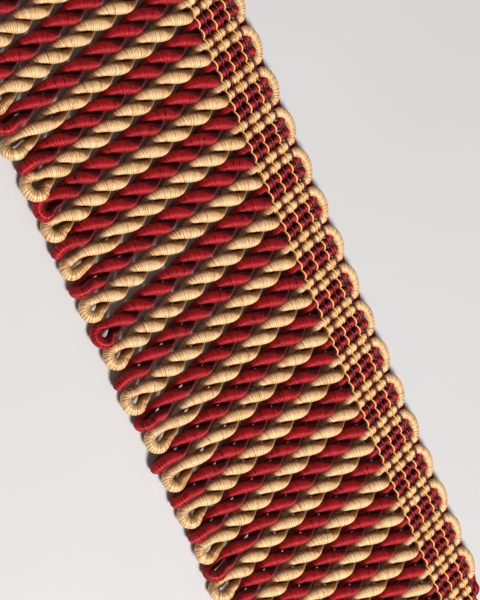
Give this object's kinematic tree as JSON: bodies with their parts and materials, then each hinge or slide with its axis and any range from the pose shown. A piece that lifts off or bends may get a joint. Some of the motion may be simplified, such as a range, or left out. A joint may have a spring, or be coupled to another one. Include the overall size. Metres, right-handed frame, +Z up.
{
  "type": "cord fringe trim",
  "caption": "Cut length of bullion fringe: narrow woven heading with a scalloped edge and a skirt of twisted gold and red cords ending in loops, for edging curtains or cushions.",
  "frame": {"origin": "middle of the woven heading's flat back, on the surface that the trim lies on", "axes": "+X along the heading, +Y from the cords to the scalloped edge, +Z up from the back to the face"},
  "size_m": [0.2008, 0.0714, 0.0042],
  "materials": {
    "warp_thread": "fine dark red and yellow binding threads",
    "gold_yarn": "lustrous viscose gimp, wrapped strand",
    "red_yarn": "lustrous viscose gimp, wrapped strand"
  },
  "bodies": {
    "root": {"heading_warp": "warp_thread", "gold_weft": "gold_yarn", "red_weft": "red_yarn"}
  },
  "joints": []
}
